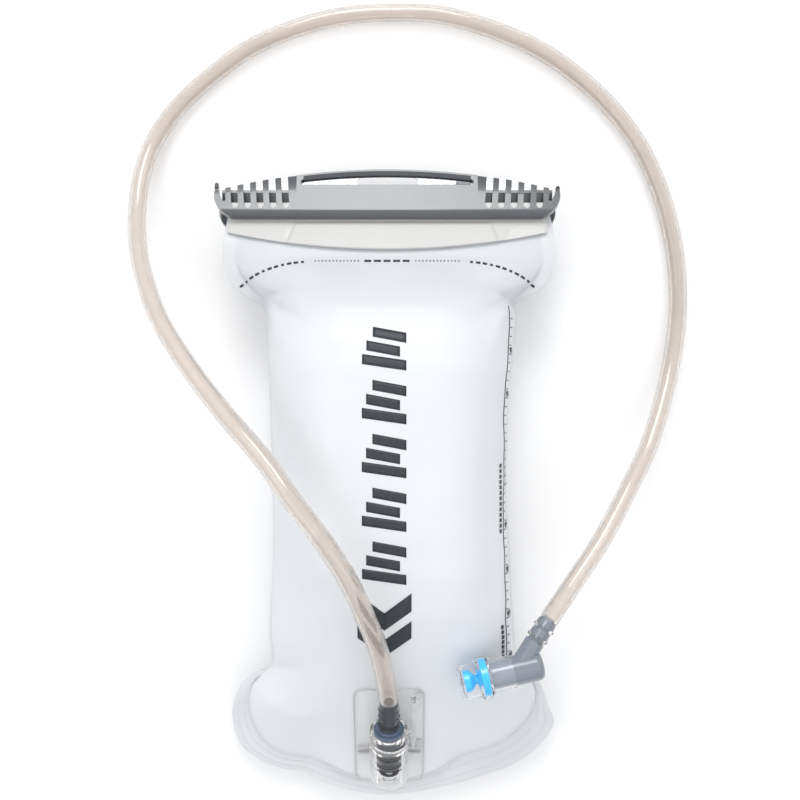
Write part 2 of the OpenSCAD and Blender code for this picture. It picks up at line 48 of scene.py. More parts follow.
# Camera ------------------------------------------------------------------------------------
CAMERA_AT = (0.0065, 0.0449, 0.550)
SEEN_HALF_WIDTH = 0.2172


def make_camera():
    """The camera looks straight down, with +Y up in the picture."""
    data = bpy.data.cameras.new("camera")
    data.sensor_width = 36
    data.lens = data.sensor_width / 2 * CAMERA_AT[2] / SEEN_HALF_WIDTH
    camera = bpy.data.objects.new("camera", data)
    camera.location = CAMERA_AT
    scene.collection.objects.link(camera)
    scene.camera = camera


make_camera()


# Helpers -----------------------------------------------------------------------------------
def add_mesh(name, points, faces, material, smooth=True):
    """A new mesh object."""
    mesh = bpy.data.meshes.new(name)
    mesh.from_pydata([tuple(map(float, p)) for p in points], [],
                     [tuple(map(int, f)) for f in faces])
    mesh.validate()
    mesh.polygons.foreach_set("use_smooth", [smooth] * len(mesh.polygons))
    mesh.materials.append(material)
    mesh.update()
    piece = bpy.data.objects.new(name, mesh)
    scene.collection.objects.link(piece)
    return piece


def catmull_rom(points, steps):
    """Points on a smooth curve through the given ones, steps to a span."""
    points = np.array(points, float)
    last = len(points) - 1
    found = []
    for i in range(last):
        p0, p1 = points[max(i - 1, 0)], points[i]
        p2, p3 = points[i + 1], points[min(i + 2, last)]
        for t in np.arange(steps) / steps:
            found.append(0.5 * (2 * p1 + (p2 - p0) * t + (2 * p0 - 5 * p1 + 4 * p2 - p3) * t * t
                                + (3 * p1 - p0 - 3 * p2 + p3) * t**3))
    found.append(points[last])
    return np.array(found)


def travelled(points):
    """The distance along a line of points to each of them."""
    return np.concatenate([[0], np.cumsum(np.linalg.norm(np.diff(points, axis=0), axis=1))])


def resampled(points, count):
    """The same line as count + 1 points at equal distances."""
    along = travelled(points[:, :2])
    places = np.linspace(0, along[-1], count + 1)
    return np.stack([np.interp(places, along, column) for column in points.T], axis=1)


def grid_faces(rows, columns, start=0, closed=False):
    """Quads between rows of points. A closed grid joins the last column to the first."""
    across = columns if closed else columns - 1
    return [(start + j * columns + i, start + j * columns + (i + 1) % columns,
             start + (j + 1) * columns + (i + 1) % columns, start + (j + 1) * columns + i)
            for j in range(rows - 1) for i in range(across)]


# Materials ---------------------------------------------------------------------------------
def plastic(name, colour, roughness, transmission=0.0, ior=1.46, grain=0.0, grain_scale=900.0,
            mottle=0.0, mottle_scale=40.0, coat=0.0, subsurface=0.0, metallic=0.0):
    """A Principled material with a fine grain in its bump and a soft variation in its colour."""
    material = bpy.data.materials.new(name)
    material.use_nodes = True
    tree = material.node_tree
    shader = tree.nodes["Principled BSDF"]
    shader.inputs["Base Color"].default_value = (*colour, 1)
    shader.inputs["Roughness"].default_value = roughness
    shader.inputs["IOR"].default_value = ior
    shader.inputs["Transmission Weight"].default_value = transmission
    shader.inputs["Coat Weight"].default_value = coat
    shader.inputs["Metallic"].default_value = metallic
    shader.inputs["Subsurface Weight"].default_value = subsurface
    shader.inputs["Subsurface Radius"].default_value = (0.004, 0.0045, 0.005)
    coordinates = tree.nodes.new("ShaderNodeTexCoord")
    if grain:
        fine = tree.nodes.new("ShaderNodeTexNoise")
        fine.inputs["Scale"].default_value = grain_scale
        fine.inputs["Detail"].default_value = 3
        tree.links.new(coordinates.outputs["Object"], fine.inputs["Vector"])
        bump = tree.nodes.new("ShaderNodeBump")
        bump.inputs["Strength"].default_value = grain
        bump.inputs["Distance"].default_value = 0.0004
        tree.links.new(fine.outputs["Fac"], bump.inputs["Height"])
        tree.links.new(bump.outputs["Normal"], shader.inputs["Normal"])
    if mottle:
        broad = tree.nodes.new("ShaderNodeTexNoise")
        broad.inputs["Scale"].default_value = mottle_scale
        broad.inputs["Detail"].default_value = 4
        tree.links.new(coordinates.outputs["Object"], broad.inputs["Vector"])
        ramp = tree.nodes.new("ShaderNodeValToRGB")
        ramp.color_ramp.elements[0].position = 0.3
        ramp.color_ramp.elements[0].color = (*(c * (1 - mottle) for c in colour), 1)
        ramp.color_ramp.elements[1].position = 0.7
        ramp.color_ramp.elements[1].color = (*(min(1, c * (1 + mottle)) for c in colour), 1)
        tree.links.new(broad.outputs["Fac"], ramp.inputs["Fac"])
        tree.links.new(ramp.outputs["Color"], shader.inputs["Base Color"])
    return material


def let_light_through(material, share):
    """Lets a share of the lamps' light pass, so that what lies behind a clear piece is lit."""
    tree = material.node_tree
    path = tree.nodes.new("ShaderNodeLightPath")
    clear = tree.nodes.new("ShaderNodeBsdfTransparent")
    clear.inputs["Color"].default_value = (share, share, share, 1)
    mix = tree.nodes.new("ShaderNodeMixShader")
    tree.links.new(path.outputs["Is Shadow Ray"], mix.inputs["Fac"])
    tree.links.new(tree.nodes["Principled BSDF"].outputs["BSDF"], mix.inputs[1])
    tree.links.new(clear.outputs["BSDF"], mix.inputs[2])
    tree.links.new(mix.outputs["Shader"], tree.nodes["Material Output"].inputs["Surface"])


def paint_shade_along(material, low, high, shade):
    """Paints shade into a material's colour along Y: none below the low distance, full from the
    high one on.
    """
    tree = material.node_tree
    shader = tree.nodes["Principled BSDF"]
    source = shader.inputs["Base Color"].links[0].from_socket
    coordinates = tree.nodes.new("ShaderNodeTexCoord")
    split = tree.nodes.new("ShaderNodeSeparateXYZ")
    reach = tree.nodes.new("ShaderNodeMapRange")
    reach.interpolation_type = "SMOOTHSTEP"
    reach.inputs["From Min"].default_value = low
    reach.inputs["From Max"].default_value = high
    mix = tree.nodes.new("ShaderNodeMix")
    mix.data_type = "RGBA"
    mix.blend_type = "MULTIPLY"
    mix.inputs["B"].default_value = (*shade, 1)
    tree.links.new(coordinates.outputs["Object"], split.inputs["Vector"])
    tree.links.new(split.outputs["Y"], reach.inputs["Value"])
    tree.links.new(reach.outputs["Result"], mix.inputs["Factor"])
    tree.links.new(source, mix.inputs["A"])
    tree.links.new(mix.outputs["Result"], shader.inputs["Base Color"])


film_material = plastic("frosted_film", (0.845, 0.868, 0.895), 0.34, transmission=0.15, ior=1.4,
                        grain=0.12, grain_scale=1400, mottle=0.015, mottle_scale=30)
# Painted shade: the back is the same film as the front, given a darker colour
back_film_painted_shade_material = plastic("frosted_back_film_painted_shade", (0.78, 0.80, 0.83), 0.4, transmission=0.15,
                             ior=1.4, grain=0.12, grain_scale=1400, mottle=0.015)
# Painted shade: the front film is greyed from here towards the closure
PAINTED_SHADE_FROM, PAINTED_SHADE_TO = 0.070, 0.112
paint_shade_along(film_material, PAINTED_SHADE_FROM, PAINTED_SHADE_TO, (0.83, 0.835, 0.84))
# Painted shade: the welded flange is the same film, given a greyer colour
weld_painted_shade_material = plastic("welded_film_painted_shade", (0.755, 0.77, 0.795), 0.3, transmission=0.15, ior=1.4,
                        grain=0.12, grain_scale=1400, mottle=0.015, mottle_scale=30)
cover_material = plastic("lip_cover_film", (0.66, 0.655, 0.645), 0.42, transmission=0.1, ior=1.4,
                         grain=0.10, grain_scale=1200, mottle=0.015, mottle_scale=30)
strip_material = plastic("warm_white_strip", (0.66, 0.655, 0.64), 0.5, grain=0.08, mottle=0.02)
rail_material = plastic("rail_white", (0.95, 0.95, 0.945), 0.4, grain=0.08, mottle=0.02)
tab_material = plastic("clear_tab_film", (0.93, 0.95, 0.97), 0.12, transmission=0.85, ior=1.4,
                       grain=0.05, mottle=0.01)
peg_material = plastic("peg_grey", (0.30, 0.33, 0.35), 0.35, grain=0.1, mottle=0.04)
slider_material = plastic("slider_satin_grey", (0.045, 0.053, 0.062), 0.27, ior=1.7, grain=0.10,
                          grain_scale=1600, mottle=0.08, mottle_scale=60, coat=0.6)
port_material = plastic("port_clear", (1.0, 0.99, 0.98), 0.03, transmission=0.985, ior=1.14,
                        grain=0.03, mottle=0.006)
# Painted shade: an opaque grey for the clear port's edges, ribs and stops
port_edge_painted_shade_material = plastic("port_edge_painted_shade", (0.54, 0.54, 0.545), 0.2, grain=0.05, mottle=0.02)
button_material = plastic("button_clear", (0.93, 0.93, 0.93), 0.12, transmission=0.93, ior=1.34,
                          grain=0.05, mottle=0.006)
spring_material = plastic("spring_steel", (0.62, 0.62, 0.64), 0.25, metallic=1.0, grain=0.1,
                          mottle=0.05)
poppet_material = plastic("poppet_white", (0.66, 0.69, 0.73), 0.35, grain=0.1, mottle=0.02)
rubber_material = plastic("black_rubber", (0.02, 0.02, 0.022), 0.55, grain=0.3, mottle=0.1)
charcoal_material = plastic("plug_charcoal", (0.026, 0.033, 0.045), 0.3, grain=0.1, mottle=0.12,
                            coat=0.4)
collar_material = plastic("collar_blue_grey", (0.085, 0.115, 0.17), 0.22, grain=0.1, mottle=0.05,
                          coat=0.3)
tube_material = plastic("warm_clear_tube", (0.83, 0.775, 0.73), 0.09, transmission=0.88, ior=1.42,
                        coat=0.4, grain=0.03, grain_scale=500, mottle=0.015, mottle_scale=90)
gripped_material = plastic("tube_on_barb", (0.97, 0.955, 0.94), 0.06, transmission=1.0, ior=1.3,
                           grain=0.03, grain_scale=500, mottle=0.015, mottle_scale=90)
valve_material = plastic("valve_grey", (0.215, 0.24, 0.285), 0.28, grain=0.10, mottle=0.05,
                         coat=0.6)
core_material = plastic("core_blue", (0.01, 0.45, 0.88), 0.22, grain=0.06, mottle=0.06,
                        coat=0.3, subsurface=0.1)
silicone_material = plastic("clear_silicone", (0.97, 0.98, 0.99), 0.08, transmission=0.985,
                            ior=1.14, grain=0.04, mottle=0.01)
for clear_material, passed in ((tab_material, 0.95), (port_material, 1.0), (button_material, 1.0),
                               (tube_material, 0.7), (gripped_material, 1.0),
                               (silicone_material, 0.97), (strip_material, 0.6)):
    let_light_through(clear_material, passed)
ink_material = plastic("charcoal_ink", (0.028, 0.034, 0.042), 0.4, grain=0.15, mottle=0.15,
                       mottle_scale=300)

for name, material in {
        "front_lip_strip": strip_material, "rear_lip_strip": strip_material,
        "front_seal_rail": rail_material, "rear_seal_rail": rail_material,
        "hang_tab": tab_material, "tether_peg": peg_material, "slider": slider_material,
        "port_base": port_material, "release_button": button_material,
        "button_spring": spring_material, "poppet_spring": spring_material,
        "port_poppet": poppet_material, "poppet_seal": rubber_material,
        "plug_body": charcoal_material, "plug_collar": collar_material,
        "plug_o_rings": rubber_material, "valve_elbow": valve_material,
        "shutoff_core": core_material, "core_o_ring": rubber_material,
        "bite_sheath": silicone_material}.items():
    nodes[name].data.materials.clear()
    nodes[name].data.materials.append(material)

# Drink tube --------------------------------------------------------------------------------
ROUTE = [
    (0.001, -0.1155, 0.0499), (0.001, -0.1013, 0.0574), (-0.001, -0.086, 0.067),
    (-0.004, -0.070, 0.079), (-0.009, -0.055, 0.088), (-0.017, -0.036, 0.095),
    (-0.028, -0.018, 0.098), (-0.042, 0.0, 0.095), (-0.056, 0.018, 0.088),
    (-0.077, 0.040, 0.076), (-0.095, 0.061, 0.0645), (-0.111, 0.083, 0.052),
    (-0.121, 0.103, 0.041), (-0.128, 0.124, 0.030), (-0.131, 0.145, 0.0195),
    (-0.130, 0.166, 0.012), (-0.124, 0.185, 0.0075), (-0.112, 0.203, 0.0055),
    (-0.095, 0.219, 0.005), (-0.076, 0.233, 0.005), (-0.052, 0.244, 0.005),
    (-0.026, 0.251, 0.005), (0.001, 0.253, 0.005), (0.028, 0.252, 0.005),
    (0.054, 0.245, 0.005), (0.080, 0.234, 0.005), (0.102, 0.219, 0.005),
    (0.120, 0.202, 0.005), (0.135, 0.182, 0.005), (0.146, 0.158, 0.005),
    (0.153, 0.132, 0.005), (0.156, 0.104, 0.005), (0.154, 0.078, 0.007),
    (0.147, 0.050, 0.0135), (0.136, 0.022, 0.024), (0.122, -0.001, 0.036),
    (0.107, -0.024, 0.047), (0.091, -0.0445, 0.056), (0.0794, -0.0601, 0.0598),
    (0.0718, -0.0718, 0.0603)]
ROUTE_STEPS = 8
TUBE_DIAMETER = 0.0095
TUBE_INNER_RADIUS = 0.0032
TUBE_WALL = TUBE_DIAMETER / 2 - TUBE_INNER_RADIUS
TUBE_SIDES = 28
PLUG_RIDGES = (0.002, 0.0062, 0.0104)
PLUG_BARB = 0.0158
VALVE_RIDGES = (0.0018, 0.0073)
VALVE_BARB = 0.0128
VALLEY_RADIUS = 0.0030
RIDGE_RADIUS = 0.0039
BARB_EDGE = (-0.0005, 0.0008)
RIDGE_PLACES = (-0.0005, 0, 0.0005, 0.0024)
RIDGE_RISES = (0, 1, 1, 0)
END_STEPS = 60
PLUG_END_POINTS = 75
JOIN_GAP = 0.001


def stretched_bore(distance, ridges, barb):
    """The tube's inner radius where it grips a barb, at a distance from the tube's end."""
    radius = float(np.interp(distance - barb, BARB_EDGE, [VALLEY_RADIUS, TUBE_INNER_RADIUS]))
    for ridge in ridges:
        rise = np.interp(distance - ridge, RIDGE_PLACES, RIDGE_RISES)
        radius = max(radius, VALLEY_RADIUS + rise * (RIDGE_RADIUS - VALLEY_RADIUS))
    return radius


def make_tube():
    """The clear drink tube, with its real wall, stretched over the barb at each end."""
    path = catmull_rom(ROUTE, ROUTE_STEPS)
    # Both ends have closer points, so that the barbs' ridges show in the wall
    plug_end = catmull_rom(ROUTE[:3], END_STEPS)[:PLUG_END_POINTS]
    valve_end = catmull_rom(ROUTE[-3:], END_STEPS)[-END_STEPS:]
    past_plug = np.linalg.norm(path - path[0], axis=1) > travelled(plug_end)[-1] + JOIN_GAP
    path = np.concatenate([plug_end, path[past_plug]])
    past_valve = np.linalg.norm(path - path[-1], axis=1) > travelled(valve_end)[-1] + JOIN_GAP
    path = np.concatenate([path[past_valve], valve_end])
    along = travelled(path)
    bores = [stretched_bore(s, PLUG_RIDGES, PLUG_BARB) if s < along[-1] / 2
             else stretched_bore(along[-1] - s, VALVE_RIDGES, VALVE_BARB) for s in along]
    rings = {"outer": [], "inner": []}
    for i, centre in enumerate(path):
        heading = path[min(i + 1, len(path) - 1)] - path[max(i - 1, 0)]
        heading /= np.linalg.norm(heading)
        side = np.cross(heading, (0.01, 0, 1))
        side /= np.linalg.norm(side)
        up = np.cross(heading, side)
        outer = max(TUBE_DIAMETER / 2, bores[i] + TUBE_WALL)
        for name, radius in (("outer", outer), ("inner", bores[i])):
            for angle in np.arange(TUBE_SIDES) * 2 * math.pi / TUBE_SIDES:
                spoke = math.cos(angle) * side + math.sin(angle) * up
                rings[name].append(centre + radius * spoke)
    rows = len(path)
    base = rows * TUBE_SIDES
    faces = grid_faces(rows, TUBE_SIDES, closed=True)
    faces += [f[::-1] for f in grid_faces(rows, TUBE_SIDES, start=base, closed=True)]
    for ring, turn in ((0, 1), ((rows - 1) * TUBE_SIDES, -1)):
        for i in range(TUBE_SIDES):
            j = (i + 1) % TUBE_SIDES
            faces.append((ring + i, base + ring + i, base + ring + j, ring + j)[::turn])
    tube = add_mesh("clear_drink_tube", rings["outer"] + rings["inner"], faces, tube_material)
    tube.data.materials.append(gripped_material)
    for face in tube.data.polygons:
        place = along[min(face.vertices[0] % base // TUBE_SIDES, rows - 1)]
        if place < PLUG_BARB or along[-1] - place < VALVE_BARB:
            face.material_index = 1
    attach(tube, "hose")
    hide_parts("drink_tube")


make_tube()

# Bag ---------------------------------------------------------------------------------------
MM = 0.001
CLOSURE_TILT = math.radians(18)
CLOSURE_AT = Vector((0, 0.135, 0.0345))
PORT_SLOPE = math.radians(28)
PORT_FOOT = (-0.11402, 0.03864)
FILM = 0.6 * MM
WELD_GAP = 0.35 * MM

# The weld round the bag, from the closure's left end down, along the foot and up the right:
# inner weld line x, y, height, then the trimmed edge x, y, height, in millimetres
RIM = [
    (-75, 143.5, 31.1, -80, 143.5, 31.1), (-76.5, 133, 34.5, -82, 133, 34.5),
    (-77, 122, 38, -82.8, 121.5, 38), (-76, 113, 38.5, -82, 112, 37.5),
    (-72.5, 106, 37.5, -78.5, 104, 36.5), (-66, 99.5, 36, -71, 97, 34.5),
    (-61, 95.4, 35, -64, 93.6, 31), (-60.2, 89, 34, -62, 88, 27.5),
    (-60, 75, 33, -61.6, 75, 26.5), (-58.3, 40, 33, -59.8, 40, 26.5),
    (-57, 0, 33, -58.6, 0, 26.5), (-57.6, -40, 32, -59.2, -40, 25.5),
    (-58.8, -74, 30, -60.4, -74, 23.5), (-57.8, -86, 28, -59.3, -87, 22.5),
    (-58.3, -92, 26, -60.4, -94.4, 21), (-63.5, -96.6, 23.5, -67.3, -97, 20),
    (-69.5, -102, 21, -74.8, -101.8, 19), (-72.3, -110, 19, -79.7, -110.5, 18),
    (-71.8, -120, 17, -81.8, -121.5, 16), (-67, -131.4, 15.5, -78, -136, 15),
    (-60, -138.5, 14.5, -68, -145, 14), (-52, -142, 14, -55, -150.5, 13),
    (-44, -142.6, 14, -44.5, -151.6, 12), (-37.5, -145, 13.5, -39.5, -154.2, 13),
    (-30, -148, 13, -32, -157.6, 13.5), (-20, -151.8, 13, -21.5, -161, 12.5),
    (-9, -154.8, 12.7, -10, -163.3, 12), (2, -155.6, 12.7, 2, -164, 12),
    (14, -154, 12.7, 15.5, -162.6, 12), (26, -149.3, 13, 29, -159.8, 12.5),
    (37, -143.5, 13.5, 41.5, -156.6, 13), (48, -140, 14, 53, -152.8, 13),
    (58, -136.3, 14.5, 65, -147.8, 14), (67, -129.7, 15.5, 77, -139.5, 15),
    (73.5, -121.5, 17, 87, -125.6, 17), (76.8, -113, 19, 84.2, -115.5, 19),
    (77, -105.5, 20.5, 81, -106, 20.5), (73.5, -99.5, 22, 77, -98.5, 21),
    (68.5, -95.8, 24, 71.5, -94.2, 22), (64.4, -90.5, 27, 66.6, -89, 22.5),
    (63.5, -74, 30, 65.6, -74, 23.5), (61.2, -40, 32, 62.9, -40, 25.5),
    (59.2, 0, 33, 60.8, 0, 26.5), (60.6, 40, 33, 62.2, 40, 26.5),
    (63, 72, 33, 64.8, 72, 26.5), (64.4, 87, 34, 66.2, 87, 27.5),
    (62, 94.6, 35, 64.4, 94, 31), (66.5, 98.5, 36, 70.5, 97.2, 34.5),
    (73.5, 104.5, 37.5, 79, 103, 36.5), (78, 112, 38.5, 83, 110.5, 37.5),
    (79, 120, 38, 85.2, 119, 38), (78, 133, 34.5, 84, 133, 34.5),
    (76.5, 143.5, 31.1, 82, 143.5, 31.1)]
FOOT_LEFT, FOOT_RIGHT = 19, 33
RIM_STEPS = 10

# Heights along the bag of the front's crest and of the back's underside, in millimetres
CREST = [(-163, 13.6), (-156, 14.8), (-152, 18.4), (-99, 46.6), (-75, 58.5), (-60, 64.5),
         (-40, 69.5), (-20, 71.5), (0, 72), (45, 72), (60, 71), (75, 67), (90, 59.5),
         (104, 49), (117, 40.3), (143.56, 31.7)]
FLOOR_LINE = [(-163, 12.4), (-156, 12.4), (-148, 7), (-140, 2.5), (-132, 0.6), (-124, 0),
              (84, 0), (98, 5), (110, 17), (121, 31.2), (127, 35.2), (133, 34), (143.56, 30.5)]
FRONT_SHOULDER = 40 * MM
BACK_SHOULDER = 19 * MM

ROWS_SIDE = 150
COLUMNS = 76
FLANGE_COLUMNS = 34
WELD_LINES = (0.32, 0.66)
WELD_LINE_WIDTH = 0.034
WELD_RIDGE = 0.55 * MM
RIPPLE_WAVES = 6
RIPPLE_LENGTHS = (26, 70)
RIPPLE_SEED = 4
RIPPLE_HEIGHT = 0.45 * MM
PUCKER_HEIGHT = 0.35 * MM
PUCKER_REACH = 7 * MM

# The flat of film under the port: where it fades out to the sides, at its foot and at its head
PORT_FLAT_SIDE = (0.0195, 0.040)
PORT_FLAT_FOOT = (-0.1555, -0.1535)
PORT_FLAT_HEAD = (-0.0985, -0.080)

# Folds that the pinched corners throw across the film: start, end, depth and half width
CREASES = [
    ((-62, 95), (-37, 82), -1.5, 3.0), ((-62, 95), (-45, 62), 1.0, 3.2),
    ((-62, 96), (-40, 101), -1.2, 2.6), ((63, 95), (38, 84), -1.5, 3.0),
    ((63, 95), (46, 62), 1.0, 3.4), ((63, 96), (42, 102), -1.3, 2.6),
    ((62, 93), (55, 74), -1.0, 2.4), ((-59, -91), (-40, -88), -0.9, 3.6),
    ((-59, -90), (-50, -68), 0.4, 4.0), ((64, -91), (46, -88), -0.8, 3.4),
    ((64, -90), (55, -66), 0.4, 4.0), ((-50, 30), (-44, -20), 0.5, 5.0),
    ((50, 24), (46, -30), -0.5, 5.0), ((-40, 108), (-30, 84), -0.5, 6.0),
    ((34, 108), (26, 82), 0.5, 6.0), ((-20, 100), (-24, 60), 0.35, 7.0)]


def profile(table, at):
    """A height along the bag, looked up at a distance y in metres."""
    keys = np.array(table, float)
    return np.interp(np.asarray(at) / MM, keys[:, 0], keys[:, 1]) * MM


def smooth_step(low, high, value):
    """0 below low, 1 above high, and a smooth rise between them."""
    t = np.clip((value - low) / (high - low), 0, 1)
    return t * t * (3 - 2 * t)


def ripple(x, y, seed):
    """A soft random wave between -1 and 1, from a few crossing sines."""
    draw = np.random.default_rng(seed)
    total = 0
    for _ in range(RIPPLE_WAVES):
        angle = draw.uniform(0, math.pi)
        wave = draw.uniform(*RIPPLE_LENGTHS) * MM
        phase = draw.uniform(0, 6.3)
        run = x * math.cos(angle) + y * math.sin(angle)
        total = total + np.sin(run * 2 * math.pi / wave + phase)
    return total / RIPPLE_WAVES


def folds(x, y):
    """How far the film's creases stand out of its smooth shape."""
    total = 0
    for start, end, depth, width in CREASES:
        a, b = np.array(start) * MM, np.array(end) * MM
        run = b - a
        t = ((x - a[0]) * run[0] + (y - a[1]) * run[1]) / run.dot(run)
        across = np.abs((x - a[0]) * run[1] - (y - a[1]) * run[0]) / np.linalg.norm(run)
        spread = width * MM * (0.55 + 0.8 * np.clip(t, 0, 1))
        fade = smooth_step(-0.15, 0.15, t) * (1 - smooth_step(0.45, 1.05, t))
        total = total + depth * MM * fade * np.exp(-(across / spread) ** 2)
    return total


def port_plane(y):
    """Height of the flat film under the port."""
    return PORT_FOOT[1] + (y - PORT_FOOT[0]) * math.tan(PORT_SLOPE)


def bag_patch():
    """The inside of the weld as a grid of x, y and weld height, and the whole rim."""
    rim = catmull_rom(np.array(RIM, float) * MM, RIM_STEPS)
    left = resampled(rim[:FOOT_LEFT * RIM_STEPS + 1], ROWS_SIDE)[::-1]
    foot = resampled(rim[FOOT_LEFT * RIM_STEPS:FOOT_RIGHT * RIM_STEPS + 1], COLUMNS)
    right = resampled(rim[FOOT_RIGHT * RIM_STEPS:], ROWS_SIDE)
    v = np.linspace(0, 1, ROWS_SIDE + 1)[:, None, None]
    even = np.linspace(0, 1, COLUMNS + 1)
    u = (0.45 * even + 0.55 * (0.5 - 0.5 * np.cos(math.pi * even)))[None, :, None]
    foot = resampled_at(foot, u.ravel())
    top = left[-1] + (right[-1] - left[-1]) * u[0]
    patch = ((1 - v) * foot[None] + v * top[None] + (1 - u) * left[:, None] + u * right[:, None]
             - (1 - u) * (1 - v) * left[0] - u * (1 - v) * right[0]
             - (1 - u) * v * left[-1] - u * v * right[-1])
    perimeter = np.concatenate([left[::-1], foot[1:-1], right])
    return patch, perimeter


def resampled_at(points, shares):
    """Points at given shares of a line's length."""
    along = travelled(points[:, :2])
    return np.stack([np.interp(shares * along[-1], along, c) for c in points.T], axis=1)


def seam_distance(x, y, perimeter):
    """The distance in plan from each grid point to the weld."""
    line = resampled(perimeter, 900)[:, :2]
    points = np.stack([x.ravel(), y.ravel()], axis=1)
    found = np.array([np.min(np.hypot(line[:, 0] - p[0], line[:, 1] - p[1])) for p in points])
    return found.reshape(x.shape)


def shoulder(distance, width):
    """A quarter of an ellipse: 0 at the weld, 1 from the shoulder's width inwards."""
    return np.sqrt(np.clip(1 - (1 - np.clip(distance / width, 0, 1)) ** 2, 0, 1))


def grid_normals(points):
    """The unit normal at each point of a grid."""
    along = np.gradient(points, axis=0)
    across = np.gradient(points, axis=1)
    normals = np.cross(across, along)
    return normals / np.maximum(np.linalg.norm(normals, axis=2, keepdims=True), 1e-12)


patch, perimeter = bag_patch()
patch_x, patch_y = patch[..., 0], patch[..., 1]
from_seam = seam_distance(patch_x, patch_y, perimeter)


def front_surface():
    """The filled front: elliptical shoulders up to the crest, and a flat ramp under the port."""
    weld = patch[..., 2]
    crest = profile(CREST, patch_y)
    z = weld + (crest - weld) * shoulder(from_seam, FRONT_SHOULDER)
    wide = 1 - smooth_step(*PORT_FLAT_SIDE, np.abs(patch_x - MM))
    long = smooth_step(*PORT_FLAT_FOOT, patch_y) * (1 - smooth_step(*PORT_FLAT_HEAD, patch_y))
    z = z + (port_plane(patch_y) - 0.1 * MM - z) * wide * long
    calm = 1 - wide * long
    points = np.stack([patch_x, patch_y, z], axis=2)
    puckers = np.sin(patch_y / (5.5 * MM) + 2 * np.sin(patch_y / (31 * MM)) + 9 * np.sign(patch_x))
    middle = smooth_step(-0.10, -0.07, patch_y) * (1 - smooth_step(0.07, 0.10, patch_y))
    lift = (folds(patch_x, patch_y) + RIPPLE_HEIGHT * ripple(patch_x, patch_y, RIPPLE_SEED)
            * smooth_step(0.0, 0.012, from_seam)
            + PUCKER_HEIGHT * puckers * middle * np.exp(-from_seam / PUCKER_REACH)
            * smooth_step(0, 0.002, from_seam))
    closing = 1 - smooth_step(0.106, 0.116, patch_y)
    lift = lift * calm * closing * smooth_step(0, 0.004, from_seam)
    return points + grid_normals(points) * lift[..., None]


def back_surface():
    """The back: flat where it lies, and drawn up to the weld round it."""
    weld = patch[..., 2]
    low = profile(FLOOR_LINE, patch_y)
    z = weld - (weld - low) * shoulder(from_seam, BACK_SHOULDER)
    return np.stack([patch_x, patch_y, np.maximum(z, 0)], axis=2)


def flange(side):
    """The weld's flange as rings from the weld line to the trimmed edge. Side 1 is the front."""
    rim = perimeter
    seam, edge = rim[:, :3], rim[:, 3:]
    tangent = np.gradient(seam, axis=0)
    normal = np.cross(edge - seam, tangent)
    normal /= np.linalg.norm(normal, axis=1, keepdims=True)
    normal *= np.where(normal[:, 2:] < 0, -1, 1)
    width = np.linalg.norm(edge - seam, axis=1)
    lines = smooth_step(6.5 * MM, 8.5 * MM, width)
    along = travelled(seam)
    wave = 0.9 * MM * np.sin(along / (17 * MM)) * smooth_step(5 * MM, 9 * MM, width)
    rings = []
    for share in np.linspace(0, 1, FLANGE_COLUMNS + 1):
        ridge = sum(math.exp(-((share - place) / WELD_LINE_WIDTH) ** 2) for place in WELD_LINES)
        offset = side * (WELD_GAP + WELD_RIDGE * ridge * lines) + wave * share**2
        rings.append(seam + (edge - seam) * share + normal * offset[:, None])
    return np.stack(rings, axis=0)


def make_panel(name, surface, side, material, node):
    """One film panel: the filled inside of the weld and the flange round it, in one sheet."""
    rows, columns = surface.shape[:2]
    surface = surface.copy()
    rings = flange(side)
    last_row, last_column = rows - 1, columns - 1
    border = ([(j, 0) for j in range(last_row, -1, -1)] + [(0, i) for i in range(1, last_column)]
              + [(j, last_column) for j in range(rows)])
    for place, point in zip(border, rings[0]):
        surface[place] = point
    points = [p for row in surface for p in row]
    faces = grid_faces(rows, columns)
    filled = len(faces)
    ring = [j * columns + i for j, i in border]
    for outer in rings[1:]:
        start = len(points)
        points.extend(outer)
        new = list(range(start, start + len(outer)))
        faces += [(ring[i], new[i], new[i + 1], ring[i + 1]) for i in range(len(ring) - 1)]
        ring = new
    if side < 0:
        faces = [f[::-1] for f in faces]
    piece = add_mesh(name, points, faces, material)
    # The flange's faces take the film greyed with painted shade
    piece.data.materials.append(weld_painted_shade_material)
    for face in piece.data.polygons[filled:]:
        face.material_index = 1
    thick = piece.modifiers.new("thickness", "SOLIDIFY")
    thick.thickness = FILM
    thick.offset = 0
    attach(piece, "root")
    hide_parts(node)
    return piece


front_film = make_panel("front_film", front_surface(), 1, film_material, "front_panel")
back_film = make_panel("back_film", back_surface(), -1, back_film_painted_shade_material, "back_panel")

# Cover of the folded lip, in millimetres along and off the closure's tilt --------------------
LIP_HALF = 80.6
LIP_CURVE = 350.0
LIP_DROP = 15.7
LIP_TOP = -0.3
COVER_LOW = 1.86
COVER_THICKNESS = 0.25
COVER_WAVE = 0.12
COVER_ROWS, COVER_COLUMNS = 22, 230
POCKET_RISE = 0.6
POCKET_EDGE = 0.9
POCKET_TOP = -1.6
POCKET_LEFT = (-46.0, -0.36)
POCKET_RIGHT = (52.0, 0.36)


def pocket_rise(x, v):
    """Height of the pocket pressed into the lip, whose sides spread towards the free edge."""
    sides = (x - (POCKET_LEFT[0] - POCKET_LEFT[1] * v), POCKET_RIGHT[0] - POCKET_RIGHT[1] * v - x,
             POCKET_TOP - v)
    inside = min(sides)
    return POCKET_RISE * float(smooth_step(-POCKET_EDGE, POCKET_EDGE, inside))


